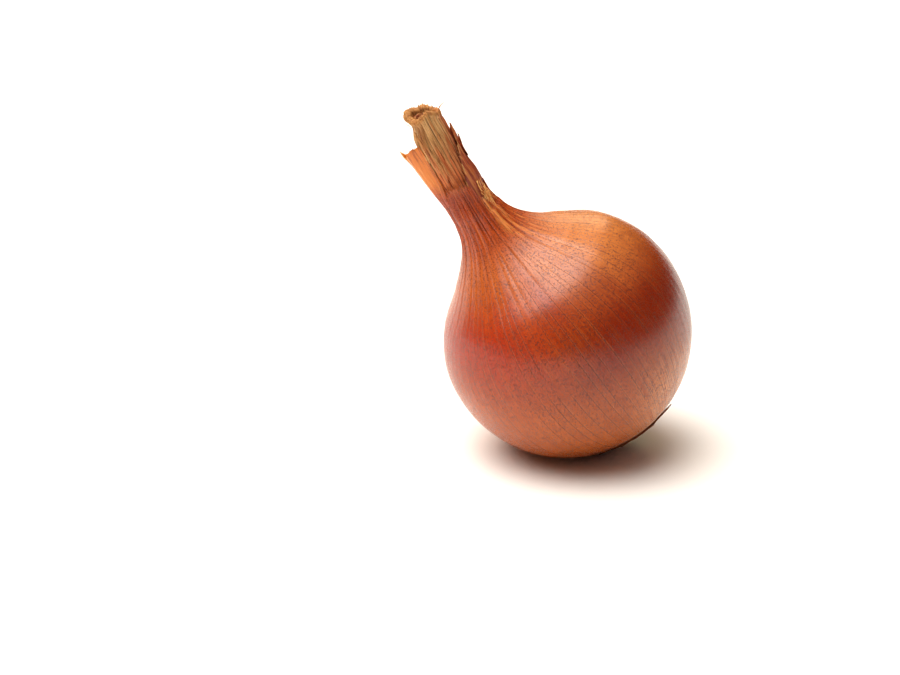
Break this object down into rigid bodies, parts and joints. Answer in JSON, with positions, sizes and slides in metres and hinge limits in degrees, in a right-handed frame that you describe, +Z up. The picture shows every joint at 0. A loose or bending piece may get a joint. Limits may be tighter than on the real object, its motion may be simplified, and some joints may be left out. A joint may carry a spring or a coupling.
{
  "type": "onion",
  "caption": "Whole brown onion with papery skin, lying tilted: round bulb, dried fibrous neck with torn leaf ends, corky root end with cut root stubs.",
  "frame": {"origin": "middle of the small flat spot that the bulb rests on, straight under the bulb's middle", "axes": "+Z up from the surface; the bulb's own axis leans in the XZ plane, with the neck up towards -X and the root end down towards +X"},
  "size_m": [0.0889, 0.0763, 0.1097],
  "materials": {
    "skin": "satin papery skin, rust orange to red-brown, with fine dark veins and speckles",
    "stalk": "dull straw-coloured dried fibres",
    "sheath": "dull reddish-brown dried leaf",
    "cork": "rough pale cork with cut root stubs",
    "scrap": "dull brown torn skin"
  },
  "bodies": {
    "root": {"bulb": "skin", "neck_stalk": "stalk", "neck_sheath": "sheath", "root_pad": "cork", "root_scrap_upper": "scrap", "root_scrap_front": "scrap", "root_scrap_back": "scrap"}
  },
  "joints": []
}
